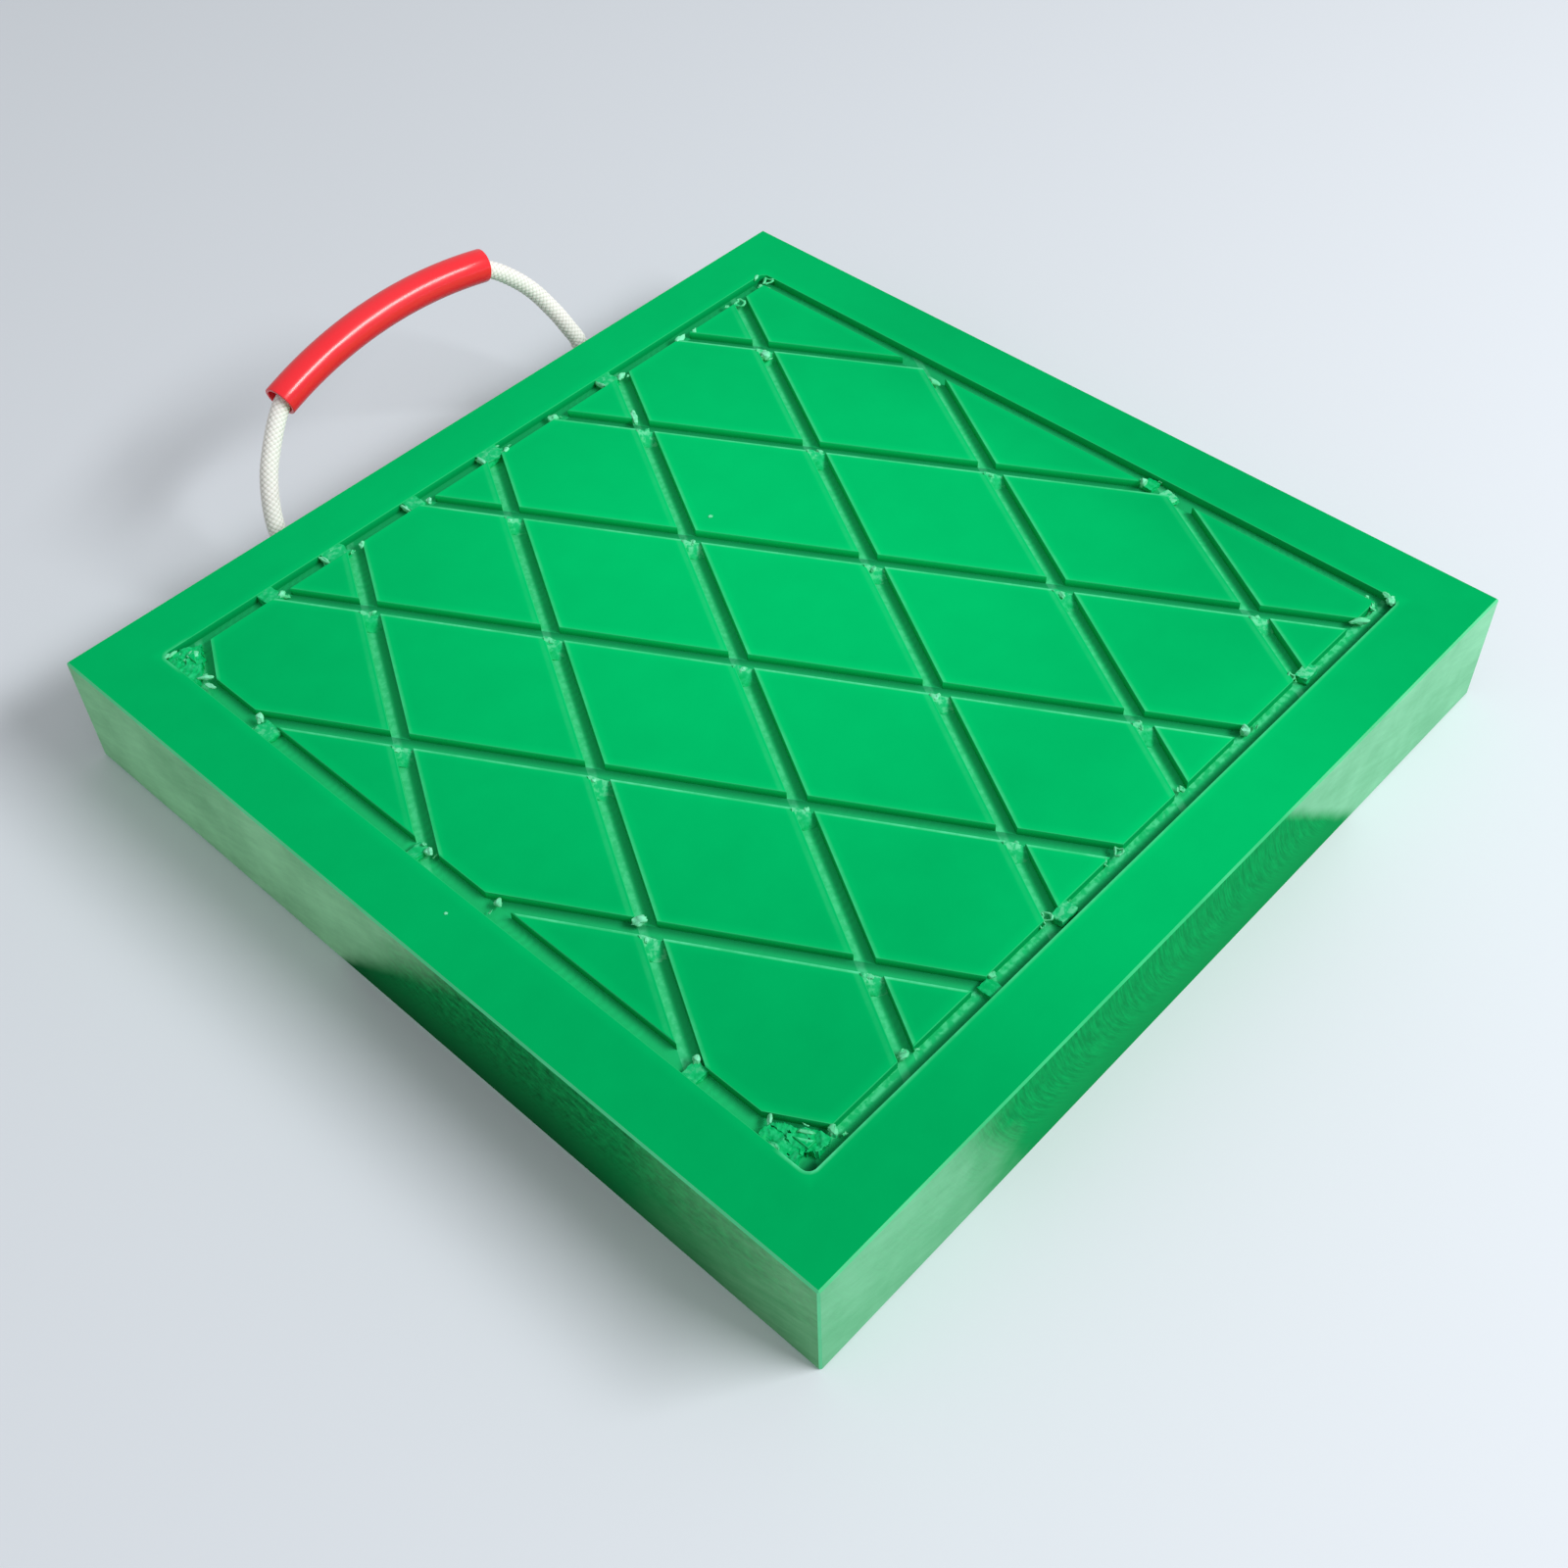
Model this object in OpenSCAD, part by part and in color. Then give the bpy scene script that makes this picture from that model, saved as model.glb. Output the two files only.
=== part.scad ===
// Crane outrigger pad: a thick square slab with a diamond pattern milled into its top,
// and a rope handle with a tube grip on one side face.
// The origin is the middle of the underside, +Z is up and the handle is on the +Y face.

/* [Slab] */
// Side of the square slab
pad_side = 600; // [580:1:700]
// Thickness of the slab
pad_t = 80; // [70:1:100]
// Width of the break along every outer edge
edge_break = 1.2; // [0.5:0.1:3]

/* [Milled pattern] */
// Diameter of the cutter, which is the width of every groove
cutter_d = 10; // [6:0.5:14]
// Depth of the grooves
groove_depth = 5.5; // [3:0.5:8]
// Side of the border square, along the middle of its groove
border_side = 508; // [480:1:540]
// Shift of the whole pattern away from the middle of the slab, towards +X
pattern_shift_x = 0.5; // [-3:0.5:3]
// Shift of the whole pattern away from the middle of the slab, towards the handle
pattern_shift_y = 2.5; // [-3:0.5:3]
// Distance between neighbouring parallel grooves
lattice_pitch = 100; // [80:1:130]
// Angle between the lattice grooves and the X direction
lattice_angle = 60; // [50:1:65]

/* [Rope bores] */
// Diameter of the rope
rope_d = 12; // [9:0.5:13]
// Room round the rope in its bores
bore_clearance = 1; // [0.5:0.1:2]
// Distance between the two bores
bore_spacing = 272; // [262:1:282]
// Height of the bores over the underside
bore_height = 40; // [30:1:46]
// Length of each bore, from the side face to its pocket
bore_len = 40; // [30:1:60]
// Width of the countersink at the mouth of each bore
bore_mouth = 1.5; // [0.5:0.1:2.5]

/* [Knot pockets] */
// Turns of rope in each stopper knot
knot_turns = 3; // [2:1:4]
// How far neighbouring turns of a knot press into each other
knot_squeeze = 1; // [0.5:0.1:1.5]
// Length of the rope end that stands out of a knot
knot_tail = 12; // [8:1:16]
// Room round a knot in its pocket
knot_room = 8; // [5:0.5:12]
// Room between a knot and the roof of its pocket
knot_roof_room = 3; // [2:0.5:6]
// Radius of the corners of a pocket, seen from below
pocket_corner_r = 10; // [6:0.5:12]

/* [Grip tube] */
// Length of the tube along its own curve
grip_len = 180; // [120:1:182]
// Wall of the tube
grip_wall = 2.3; // [1:0.1:3.5]
// Room round the rope inside the tube
grip_play = 3; // [2.7:0.1:6]
// Radius of the curve that the tube takes
grip_curve_r = 345; // [335:1:365]

/* [Hidden] */
$fn = 64;
rope_sides = 12;
// Extra length that lets a cut run out past the face it opens
overcut = 1;
// Gap between a knot's first turn and the pocket wall that it bears on
knot_seat_gap = 0.2;

pad_green = [0.01, 0.68, 0.36];
rope_ivory = [0.93, 0.92, 0.87];
grip_red = [0.95, 0.2, 0.24];

// Pattern: both directions of lattice groove cross on the middle row, half a step in from the right border
border_half = border_side / 2;
lattice_step_x = lattice_pitch / sin(lattice_angle);
lattice_start_x = border_half - lattice_step_x / 2;
lattice_reach_x = border_half + border_half / tan(lattice_angle);
lattice_first = ceil((lattice_start_x - lattice_reach_x) / lattice_step_x);
lattice_last = floor((lattice_start_x + lattice_reach_x) / lattice_step_x);

// Bores, knots and pockets
bore_d = rope_d + 2 * bore_clearance;
bore_x = bore_spacing / 2;
pocket_face_y = pad_side / 2 - bore_len;
knot_pitch = rope_d - knot_squeeze;
knot_r = knot_pitch + rope_d / 2;
knot_len = (knot_turns - 1) * knot_pitch + rope_d;
pocket_w = 2 * (knot_r + knot_room);
pocket_len = knot_len + knot_tail + knot_room;
pocket_depth = bore_height + knot_r + knot_roof_room;

// Handle: a plane that leans out from the side face, with the tube's middle at handle_top
grip_bore = rope_d + 2 * grip_play;
grip_od = grip_bore + 2 * grip_wall;
grip_half_angle = grip_len / grip_curve_r * 90 / PI;
handle_top = [0, 65, 94];
handle_lean = 65;
handle_roll = 3.5;

// The rope's route. Bends are [across, outwards, upwards] from the mouth of their bore,
// and loop points are [along the tube, upwards] in the handle's own plane, from the tube's middle.
left_bend = [
    [0, -20, 0], [0, 2, 0], [0.5, 10, 1], [2, 17.5, 4.5], [4, 23.5, 9.5], [5.5, 27.5, 14.5]
];
loop = [
    [-134, -74], [-130, -63.5], [-125, -53.5], [-119, -44], [-111.5, -35], [-103.5, -26.5], [-95.5, -19],
    [-88, -13.5], [-75, -9], [-60, -4.5], [-30, 1], [0, 2.5], [30, 1], [60, -4.5], [75, -9], [88, -13.5],
    [96, -19.5], [104.5, -28.5], [112, -38.5], [118, -49], [122.5, -60], [126.5, -71], [129.5, -82], [132, -92]
];
right_bend = [
    [1.5, 27.5, 14], [1.5, 23.5, 9.5], [1, 17.5, 4.5], [0.5, 10, 1], [0, 2, 0], [0, -20, 0]
];

function from_bore(p, side) = [side * bore_x + p[0], p[1], p[2]];

function on_handle(p) =
    let (x = p[0] * cos(handle_roll) - p[1] * sin(handle_roll))
    let (rise = p[0] * sin(handle_roll) + p[1] * cos(handle_roll))
    handle_top + [x, rise * cos(handle_lean), rise * sin(handle_lean)];

rope_route = concat(
    [from_bore([0, -bore_len, 0], -1)],
    [for (p = left_bend) from_bore(p, -1)],
    [for (p = loop) on_handle(p)],
    [for (p = right_bend) from_bore(p, 1)],
    [from_bore([0, -bore_len, 0], 1)]
);

function unit(v) = v / norm(v);

// Direction of a route at one of its points; both ends lie in a bore and keep its direction
function heading(route, i) =
    i == 0 ? [0, 1, 0] :
    i == len(route) - 1 ? [0, -1, 0] :
    unit(unit(route[i + 1] - route[i]) + unit(route[i] - route[i - 1]));

// Corners of the ring round one point of a route; the plane's normal is never in line with the rope
function ring(route, i, r, sides) =
    let (t = heading(route, i))
    let (a = unit(cross(t, [0, -sin(handle_lean), cos(handle_lean)])))
    let (b = cross(t, a))
    [for (k = [0 : sides - 1]) route[i] + r * (cos(360 * k / sides) * a + sin(360 * k / sides) * b)];

// A closed tube whose rings stand on the points of a route
module swept_tube(route, d, sides) {
    last = len(route) - 1;
    corners = [for (i = [0 : last]) each ring(route, i, d / 2, sides)];
    walls = [
        for (i = [0 : last - 1])
            for (k = [0 : sides - 1])
                let (a = i * sides + k)
                let (b = i * sides + (k + 1) % sides)
                each [[a, b, b + sides], [a, b + sides, a + sides]]
    ];
    end_ring = last * sides;
    start_cap = [for (k = [1 : sides - 2]) [0, k + 1, k]];
    end_cap = [for (k = [1 : sides - 2]) [end_ring, end_ring + k, end_ring + k + 1]];
    polyhedron(corners, concat(walls, start_cap, end_cap));
}

// A rectangle with its four corners cut off at 45 degrees
module broken_rectangle(w, h, cut) {
    polygon([
        [-w / 2 + cut, -h / 2], [w / 2 - cut, -h / 2], [w / 2, -h / 2 + cut], [w / 2, h / 2 - cut],
        [w / 2 - cut, h / 2], [-w / 2 + cut, h / 2], [-w / 2, h / 2 - cut], [-w / 2, -h / 2 + cut]
    ]);
}

// The sawn slab, with a break along all twelve edges
module slab() {
    intersection() {
        linear_extrude(pad_t)
            broken_rectangle(pad_side, pad_side, edge_break);
        translate([0, pad_side / 2, pad_t / 2])
            rotate([90, 0, 0])
                linear_extrude(pad_side)
                    broken_rectangle(pad_side, pad_t, edge_break);
        translate([-pad_side / 2, 0, pad_t / 2])
            rotate([90, 0, 90])
                linear_extrude(pad_side)
                    broken_rectangle(pad_side, pad_t, edge_break);
    }
}

// The cutter's way along one side of the border, with its round at the corner
module border_side_cut(turn) {
    rotate(turn)
        translate([border_half, 0]) {
            square([cutter_d, border_side], center = true);
            translate([0, border_half])
                circle(d = cutter_d);
        }
}

// The cutter's way along one lattice groove, from border to border
module lattice_cut(x, direction) {
    from = max(-border_half / sin(lattice_angle), (-border_half - x) / cos(lattice_angle));
    to = min(border_half / sin(lattice_angle), (border_half - x) / cos(lattice_angle));
    if (to - from > cutter_d)
        translate([x, 0])
            rotate(direction * lattice_angle)
                translate([from, -cutter_d / 2])
                    square([to - from, cutter_d]);
}

module groove_pattern() {
    for (turn = [0, 90, 180, 270])
        border_side_cut(turn);
    for (i = [lattice_first : lattice_last])
        for (direction = [-1, 1])
            lattice_cut(lattice_start_x - i * lattice_step_x, direction);
}

// A pocket as seen from below, with rounded corners and a flat wall for the knot to bear on
module pocket_outline() {
    inner_w = pocket_w - 2 * pocket_corner_r;
    inner_len = pocket_len - 2 * pocket_corner_r;
    translate([0, -pocket_len / 2]) {
        square([pocket_w, inner_len], center = true);
        square([inner_w, pocket_len], center = true);
        for (x = [-1, 1])
            for (y = [-1, 1])
                translate([x * inner_w / 2, y * inner_len / 2])
                    circle(r = pocket_corner_r);
    }
}

// Bore from the side face, its countersunk mouth, and the pocket that it ends in
module rope_way() {
    translate([0, pad_side / 2, bore_height])
        rotate([90, 0, 0]) {
            translate([0, 0, -overcut])
                cylinder(h = bore_len + 2 * overcut, d = bore_d);
            cylinder(h = bore_mouth, r1 = bore_d / 2 + bore_mouth, r2 = bore_d / 2);
        }
    translate([0, pocket_face_y, -overcut])
        linear_extrude(pocket_depth + overcut)
            pocket_outline();
}

module pad() {
    color(pad_green)
        difference() {
            slab();
            translate([pattern_shift_x, pattern_shift_y, pad_t - groove_depth])
                linear_extrude(groove_depth + overcut)
                    groove_pattern();
            for (side = [-1, 1])
                translate([side * bore_x, 0, 0])
                    rope_way();
        }
}

module handle_rope() {
    color(rope_ivory)
        translate([0, pad_side / 2, bore_height])
            swept_tube(rope_route, rope_d, rope_sides);
}

// A stopper knot along -Y: turns of rope round the standing part, and the short end
module stopper_knot() {
    rotate([90, 0, 0]) {
        cylinder(h = knot_len + knot_tail, d = rope_d);
        for (i = [0 : knot_turns - 1])
            translate([0, 0, knot_seat_gap + rope_d / 2 + i * knot_pitch])
                rotate_extrude()
                    translate([knot_pitch, 0])
                        circle(d = rope_d);
    }
}

module rope_knots() {
    color(rope_ivory)
        for (side = [-1, 1])
            translate([side * bore_x, pocket_face_y, bore_height])
                stopper_knot();
}

module handle_grip() {
    color(grip_red)
        translate([0, pad_side / 2, bore_height])
            translate(handle_top)
                rotate([handle_lean, 0, 0])
                    rotate(handle_roll)
                        translate([0, -grip_curve_r])
                            rotate(90 - grip_half_angle)
                                rotate_extrude(angle = 2 * grip_half_angle)
                                    translate([grip_curve_r, 0])
                                        difference() {
                                            circle(d = grip_od);
                                            circle(d = grip_bore);
                                        }
}

pad();
handle_rope();
rope_knots();
handle_grip();
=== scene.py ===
"""Looks of a crane outrigger pad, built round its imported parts: a milled slab, its burrs and a rope handle."""

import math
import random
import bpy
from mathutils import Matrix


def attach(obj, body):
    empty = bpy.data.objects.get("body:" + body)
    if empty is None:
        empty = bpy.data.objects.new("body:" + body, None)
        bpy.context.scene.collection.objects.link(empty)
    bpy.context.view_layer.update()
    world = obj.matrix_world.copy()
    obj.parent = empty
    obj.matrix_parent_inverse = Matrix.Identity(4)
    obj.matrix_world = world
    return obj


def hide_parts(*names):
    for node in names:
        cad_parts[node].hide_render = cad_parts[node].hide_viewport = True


bl_info = {
    "name": "Crane outrigger pad",
    "version": (1, 0, 0),
    "blender": (4, 5, 0),
    "location": "3D View > Sidebar > Outrigger pad",
    "description": "Models and finishes a milled plastic outrigger pad with a rope handle",
    "category": "Object",
}

import bmesh
import bpy
import numpy as np
from mathutils import Matrix, Vector

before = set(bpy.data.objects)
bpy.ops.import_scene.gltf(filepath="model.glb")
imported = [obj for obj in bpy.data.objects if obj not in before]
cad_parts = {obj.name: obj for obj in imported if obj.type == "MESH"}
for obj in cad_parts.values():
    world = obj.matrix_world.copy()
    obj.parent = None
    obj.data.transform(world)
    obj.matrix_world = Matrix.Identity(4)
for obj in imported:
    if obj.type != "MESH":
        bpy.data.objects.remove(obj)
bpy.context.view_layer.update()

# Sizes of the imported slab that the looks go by, in metres
SLAB_HALF = 0.3
SLAB_TOP = 0.08
BORE_X = 0.136
BORE_Z = 0.04

# Distance between the rings of a rope's mesh, in metres, and the camera's sensor in millimetres
RING_STEP = 0.0006
SENSOR_WIDTH = 36


def linear(red, green, blue):
    """A colour given in 0 to 255 as a screen shows it, as Blender's linear values."""
    parts = [c / 255 for c in (red, green, blue)]
    return tuple(c / 12.92 if c <= 0.04045 else ((c + 0.055) / 1.055) ** 2.4 for c in parts)


def length(name, description, default):
    """A property that holds a length in metres."""
    return bpy.props.FloatProperty(name=name, description=description, default=default, precision=5, unit="LENGTH")


def colour(name, description, default):
    """A property that holds a colour."""
    return bpy.props.FloatVectorProperty(name=name, description=description, default=default, subtype="COLOR",
                                         min=0, max=1)


def amount(name, description, default):
    """A property that holds a plain number."""
    return bpy.props.FloatProperty(name=name, description=description, default=default)


# Settings of the pieces

class PAD_PG_studio(bpy.types.PropertyGroup):
    """Camera and light."""

    place: bpy.props.FloatVectorProperty(name="Camera place", description="Where the camera stands",
                                         default=(-0.58717, -0.57404, 0.87327), subtype="XYZ", unit="LENGTH")
    aim: bpy.props.FloatVectorProperty(name="Camera aim", description="Point on the floor that it looks at",
                                       default=(-0.03826, -0.03286, 0), subtype="XYZ", unit="LENGTH")
    roll: bpy.props.FloatProperty(name="Camera roll", description="How far it is tipped sideways",
                                  default=math.radians(-2.257), subtype="ANGLE")
    lens: amount("Lens", "Focal length in millimetres on a 36 mm sensor", 44.22)
    key: amount("Key light", "Power of the large soft light", 108)
    key_way: bpy.props.FloatVectorProperty(name="Key direction", description="Where that light stands, from the pad",
                                           default=(0.46, -0.86, 0.88), subtype="DIRECTION")
    key_away: length("Key distance", "How far away it stands", 3.6)
    key_width: length("Key width", "Its longer side", 2.3)
    key_height: length("Key height", "Its shorter side", 0.8)
    sky: amount("Sky", "Strength of the even light from all round", 0.47)
    floor: colour("Floor", "Colour of the plain floor", linear(222, 228, 235))
    floor_side: length("Floor side", "Side of the square floor", 12)


class PAD_PG_pattern(bpy.types.PropertyGroup):
    """The milled pattern of the slab's top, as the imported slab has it."""

    border_side: length("Border side", "Side of the square border groove", 0.508)
    pitch: length("Pitch", "Distance between neighbouring lattice grooves", 0.100)
    angle: bpy.props.FloatProperty(name="Angle", description="Angle of the lattice grooves", default=math.radians(60),
                                   subtype="ANGLE")
    start_x: length("Start", "Place of the first crossing on the middle row", 0.196265)
    cutter: length("Cutter", "Diameter of the cutter", 0.010)
    depth: length("Depth", "Depth of the grooves", 0.0055)
    shift_x: length("Shift along X", "How far the pattern lies off the middle", 0.0005)
    shift_y: length("Shift along Y", "How far the pattern lies off the middle", 0.0025)
    feed: length("Feed", "Distance between the cutter's marks on a groove's floor", 0.0052)


class PAD_PG_slab(bpy.types.PropertyGroup):
    """Finish of the slab."""

    lip: length("Lip", "Width of the softened edge along each groove", 0.0005)
    green: colour("Green", "Planed top", (0, 0.5, 0.134))
    groove: colour("Groove", "Milled floor of the grooves", (0.014, 0.52, 0.17))
    # The lips colour also paints the pale sheen on the groove floors: painted light
    lips: colour("Lips", "Whitened lips of the grooves", linear(92, 224, 162))
    # The edge colour also carries a painted highlight along the outer edges
    edge: colour("Edge", "Whitened outer edges", linear(100, 228, 165))
    side: colour("Side", "Freshly planed side faces", (0, 0.285, 0.072))
    shade: colour("Shade", "Deep green of the side face towards -X", (0.003, 0.19, 0.047))
    # The two pale colours are those of the painted reflections on the side faces, with scuffs in them
    scuffs_and_reflection: colour("Haze", "Scuffed pale plastic of the side faces", linear(134, 200, 161))
    dull_scuffs_and_reflection: colour("Dull haze", "Scuffed pale plastic of the side face towards -X", linear(150, 215, 165))


class PAD_PG_rope(bpy.types.PropertyGroup):
    """The braided rope."""

    diameter: length("Diameter", "Outside diameter of the rope", 0.012)
    strands: bpy.props.IntProperty(name="Strands", description="Strands that run each way round", default=8, min=4)
    lead: length("Lead", "Length in which a strand goes once round", 0.028)
    relief: length("Relief", "Depth of the hollows between the strands", 0.0006)
    light: colour("Ivory", "Colour of the strands", linear(254, 252, 248))
    dark: colour("Hollows", "Colour between the strands", linear(214, 210, 200))


class PAD_PG_grip(bpy.types.PropertyGroup):
    """The plastic tube on the rope."""

    rim: length("Rim", "Rounding of the tube's cut ends", 0.0005)
    red: colour("Red", "Colour of the tube", (0.94, 0.018, 0.03))
    worn: colour("Worn red", "Colour of its duller patches", (0.88, 0.045, 0.06))


class PAD_PG_burrs(bpy.types.PropertyGroup):
    """Torn plastic that the cutter left in the grooves."""

    seed: bpy.props.IntProperty(name="Seed", description="Start of the random variation", default=7)
    pale: colour("Pale", "Torn and stretched plastic", linear(108, 226, 166))
    fresh: colour("Fresh", "Smeared plastic", linear(30, 200, 122))
    white: colour("White", "Chips that stand up", linear(136, 240, 192))


class PAD_PG_settings(bpy.types.PropertyGroup):
    """All settings of the pad."""

    studio: bpy.props.PointerProperty(type=PAD_PG_studio)
    pattern: bpy.props.PointerProperty(type=PAD_PG_pattern)
    slab: bpy.props.PointerProperty(type=PAD_PG_slab)
    rope: bpy.props.PointerProperty(type=PAD_PG_rope)
    grip: bpy.props.PointerProperty(type=PAD_PG_grip)
    burrs: bpy.props.PointerProperty(type=PAD_PG_burrs)


# Shader helpers

def plug(tree, value, pin):
    """Feeds a socket from a field, or sets it to a constant."""
    if isinstance(value, Field):
        tree.links.new(value.socket, pin)
    else:
        pin.default_value = value


class Field:
    """A value that varies over a surface: a shader socket with arithmetic."""

    def __init__(self, tree, socket):
        self.tree = tree
        self.socket = socket

    def math(self, operation, *others):
        """The result of a Math node on this field and other values."""
        node = self.tree.nodes.new("ShaderNodeMath")
        node.operation = operation
        for pin, value in zip(node.inputs, (self, *others)):
            plug(self.tree, value, pin)
        return Field(self.tree, node.outputs[0])

    def __add__(self, other):
        return self.math("ADD", other)

    def __sub__(self, other):
        return self.math("SUBTRACT", other)

    def __rsub__(self, other):
        return self.math("MULTIPLY_ADD", -1.0, other)

    def __mul__(self, other):
        return self.math("MULTIPLY", other)

    def __truediv__(self, other):
        return self.math("DIVIDE", other)

    __radd__ = __add__
    __rmul__ = __mul__

    def rise(self, low, high):
        """0 below low and 1 above high, with a smooth change between them."""
        node = self.tree.nodes.new("ShaderNodeMapRange")
        node.interpolation_type = "SMOOTHSTEP"
        plug(self.tree, self, node.inputs["Value"])
        node.inputs["From Min"].default_value = low
        node.inputs["From Max"].default_value = high
        return Field(self.tree, node.outputs["Result"])

    def fall(self, low, high):
        """1 below low and 0 above high."""
        return 1 - self.rise(low, high)

    def band(self, start, full, fading, end):
        """1 from full to fading, and 0 before start and after end."""
        return self.rise(start, full) * self.fall(fading, end)

    def sine(self):
        """Sine of this field."""
        return self.math("SINE")

    def size(self):
        """This field without its sign."""
        return self.math("ABSOLUTE")


def diagonal(first, second):
    """Length of a step whose two parts are given."""
    return (first * first + second * second).math("SQRT")


def new_material(name):
    """A material, its node tree and its Principled shader."""
    material = bpy.data.materials.new(name)
    material.use_nodes = True
    tree = material.node_tree
    return material, tree, tree.nodes["Principled BSDF"]


def parts_of(tree, socket):
    """The three parts of a vector as fields."""
    node = tree.nodes.new("ShaderNodeSeparateXYZ")
    tree.links.new(socket, node.inputs[0])
    return [Field(tree, out) for out in node.outputs]


def vector_of(tree, x, y, z):
    """A vector from three values."""
    node = tree.nodes.new("ShaderNodeCombineXYZ")
    for value, pin in zip((x, y, z), node.inputs):
        plug(tree, value, pin)
    return Field(tree, node.outputs[0])


def noise(tree, vector, scale, detail=3.0, roughness=0.55):
    """A cloudy field from 0 to 1."""
    node = tree.nodes.new("ShaderNodeTexNoise")
    plug(tree, vector, node.inputs["Vector"])
    node.inputs["Scale"].default_value = scale
    node.inputs["Detail"].default_value = detail
    node.inputs["Roughness"].default_value = roughness
    return Field(tree, node.outputs["Fac"])


def blend(tree, share, first, second):
    """A colour between two others."""
    node = tree.nodes.new("ShaderNodeMix")
    node.data_type = "RGBA"
    plug(tree, share, node.inputs[0])
    for value, pin in ((first, node.inputs[6]), (second, node.inputs[7])):
        plug(tree, value if isinstance(value, Field) else (*value, 1.0), pin)
    return Field(tree, node.outputs[2])


def shaded(tree, base, factor):
    """A colour made lighter or darker by a factor."""
    node = tree.nodes.new("ShaderNodeVectorMath")
    node.operation = "SCALE"
    plug(tree, base, node.inputs[0])
    plug(tree, factor, node.inputs["Scale"])
    return Field(tree, node.outputs[0])


def attribute(tree, name):
    """A mesh attribute as a field."""
    node = tree.nodes.new("ShaderNodeAttribute")
    node.attribute_name = name
    return Field(tree, node.outputs["Fac"])


def bump(tree, shader, height, distance):
    """Gives the shader a fine relief; the distance is in metres."""
    node = tree.nodes.new("ShaderNodeBump")
    node.inputs["Distance"].default_value = distance
    plug(tree, height, node.inputs["Height"])
    tree.links.new(node.outputs["Normal"], shader.inputs["Normal"])


def plastic_group():
    """The node group that the plastics share: broad mottling and fine grain of a worked surface."""
    name = "worked_plastic"
    if name in bpy.data.node_groups:
        return bpy.data.node_groups[name]
    group = bpy.data.node_groups.new(name, "ShaderNodeTree")
    group.interface.new_socket("Vector", in_out="INPUT", socket_type="NodeSocketVector")
    group.interface.new_socket("Mottle", in_out="OUTPUT", socket_type="NodeSocketFloat")
    group.interface.new_socket("Grain", in_out="OUTPUT", socket_type="NodeSocketFloat")
    inside = group.nodes.new("NodeGroupInput")
    outside = group.nodes.new("NodeGroupOutput")
    vector = Field(group, inside.outputs["Vector"])
    broad = noise(group, vector, 9.0, 4.0)
    fine = noise(group, vector, 420.0, 3.0, 0.65)
    plug(group, broad.rise(0.25, 0.75), outside.inputs["Mottle"])
    plug(group, fine, outside.inputs["Grain"])
    return group


def worked_plastic(tree, vector):
    """Mottling and grain on a surface."""
    node = tree.nodes.new("ShaderNodeGroup")
    node.node_tree = plastic_group()
    tree.links.new(vector, node.inputs["Vector"])
    return Field(tree, node.outputs["Mottle"]), Field(tree, node.outputs["Grain"])


# Mesh helpers

def link(obj):
    """Puts an object in the scene and makes it the only selected and active one."""
    if obj.name not in bpy.context.scene.collection.objects:
        bpy.context.scene.collection.objects.link(obj)
    bpy.ops.object.select_all(action="DESELECT")
    obj.select_set(True)
    bpy.context.view_layer.objects.active = obj
    return obj


def joined(pieces, name):
    """One object made of several."""
    bpy.ops.object.select_all(action="DESELECT")
    for piece in pieces:
        piece.select_set(True)
    bpy.context.view_layer.objects.active = pieces[0]
    bpy.ops.object.join()
    pieces[0].name = name
    return pieces[0]


def edit(kind):
    """Opens the active mesh for editing its vertices, edges or faces, with nothing selected."""
    bpy.ops.object.mode_set(mode="EDIT")
    bpy.ops.mesh.select_mode(type=kind)
    bpy.ops.mesh.select_all(action="DESELECT")


def modify(obj, kind, **values):
    """Applies a modifier to the active object."""
    bpy.ops.object.modifier_add(type=kind)
    modifier = obj.modifiers[-1]
    for name, value in values.items():
        setattr(modifier, name, value)
    bpy.ops.object.modifier_apply(modifier=modifier.name)


def copy_of_node(node, name):
    """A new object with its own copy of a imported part's mesh, with split corners joined again."""
    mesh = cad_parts[node].data.copy()
    mesh.materials.clear()
    mesh.name = name
    obj = link(bpy.data.objects.new(name, mesh))
    bpy.ops.object.mode_set(mode="EDIT")
    bpy.ops.mesh.select_all(action="SELECT")
    bpy.ops.mesh.customdata_custom_splitnormals_clear()
    bpy.ops.mesh.remove_doubles(threshold=1e-6)
    bpy.ops.mesh.dissolve_limited(angle_limit=math.radians(0.5))
    bpy.ops.object.mode_set(mode="OBJECT")
    return obj


def smooth_line(points, step):
    """Even points, and the run to each, along a smooth curve through the given ones."""
    points = np.array(points)
    gaps = np.linalg.norm(np.diff(points, axis=0), axis=1)[:, None]
    slopes = np.diff(points, axis=0) / gaps
    inner = (slopes[:-1] * gaps[1:] + slopes[1:] * gaps[:-1]) / (gaps[:-1] + gaps[1:])
    heads = np.vstack([slopes[:1], inner, slopes[-1:]])
    t = np.linspace(0, 1, 24, endpoint=False)[:, None]
    bits = []
    for a, b, head_a, head_b, gap in zip(points, points[1:], heads, heads[1:], gaps):
        bits.append((2 * t**3 - 3 * t**2 + 1) * a + (t**3 - 2 * t**2 + t) * gap * head_a
                    + (3 * t**2 - 2 * t**3) * b + (t**3 - t**2) * gap * head_b)
    dense = np.vstack([*bits, points[-1:]])
    run = np.concatenate([[0], np.cumsum(np.linalg.norm(np.diff(dense, axis=0), axis=1))])
    even = np.linspace(0, run[-1], round(run[-1] / step) + 1)
    return np.column_stack([np.interp(even, run, dense[:, k]) for k in range(3)]), even


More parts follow.
